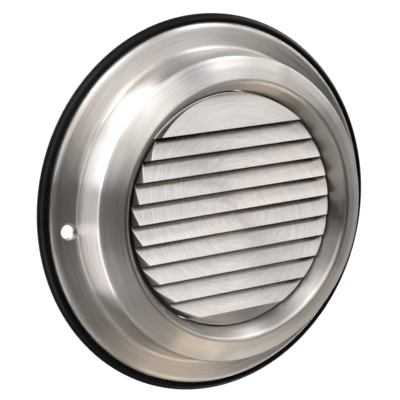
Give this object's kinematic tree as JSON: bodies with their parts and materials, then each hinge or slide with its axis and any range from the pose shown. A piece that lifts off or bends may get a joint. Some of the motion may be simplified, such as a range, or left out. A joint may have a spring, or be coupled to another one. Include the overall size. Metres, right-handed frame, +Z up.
{
  "type": "louvred cowl vent",
  "caption": "Round bull-nosed stainless vent cover with a recessed plate of downward louvres, a rubber edge seal, a duct collar and an insect screen.",
  "frame": {"origin": "centre of the vent in the plane of the wall it is fixed to, which is the back face of the rubber seal", "axes": "+Z up as mounted, +Y into the wall along the duct, so the louvres face -Y; +X to the right seen from the front"},
  "size_m": [0.133, 0.0476, 0.133],
  "materials": {
    "cover_steel": "satin, brushed round the axis",
    "plate_steel": "satin, brushed in circles about the centre",
    "seal_rubber": "matt moulded rubber",
    "collar_steel": "mill finish with light drawing lines",
    "screen_wire": "dull woven wire",
    "spring_steel": "plain spring wire",
    "rivet_steel": "plain"
  },
  "bodies": {
    "root": {"cover_ring": "cover_steel", "louvre_plate": "plate_steel", "edge_seal": "seal_rubber", "duct_collar": "collar_steel", "insect_screen": "screen_wire", "screen_snap_ring": "spring_steel", "rivet_1": "rivet_steel", "rivet_2": "rivet_steel", "rivet_3": "rivet_steel", "rivet_4": "rivet_steel"}
  },
  "joints": []
}
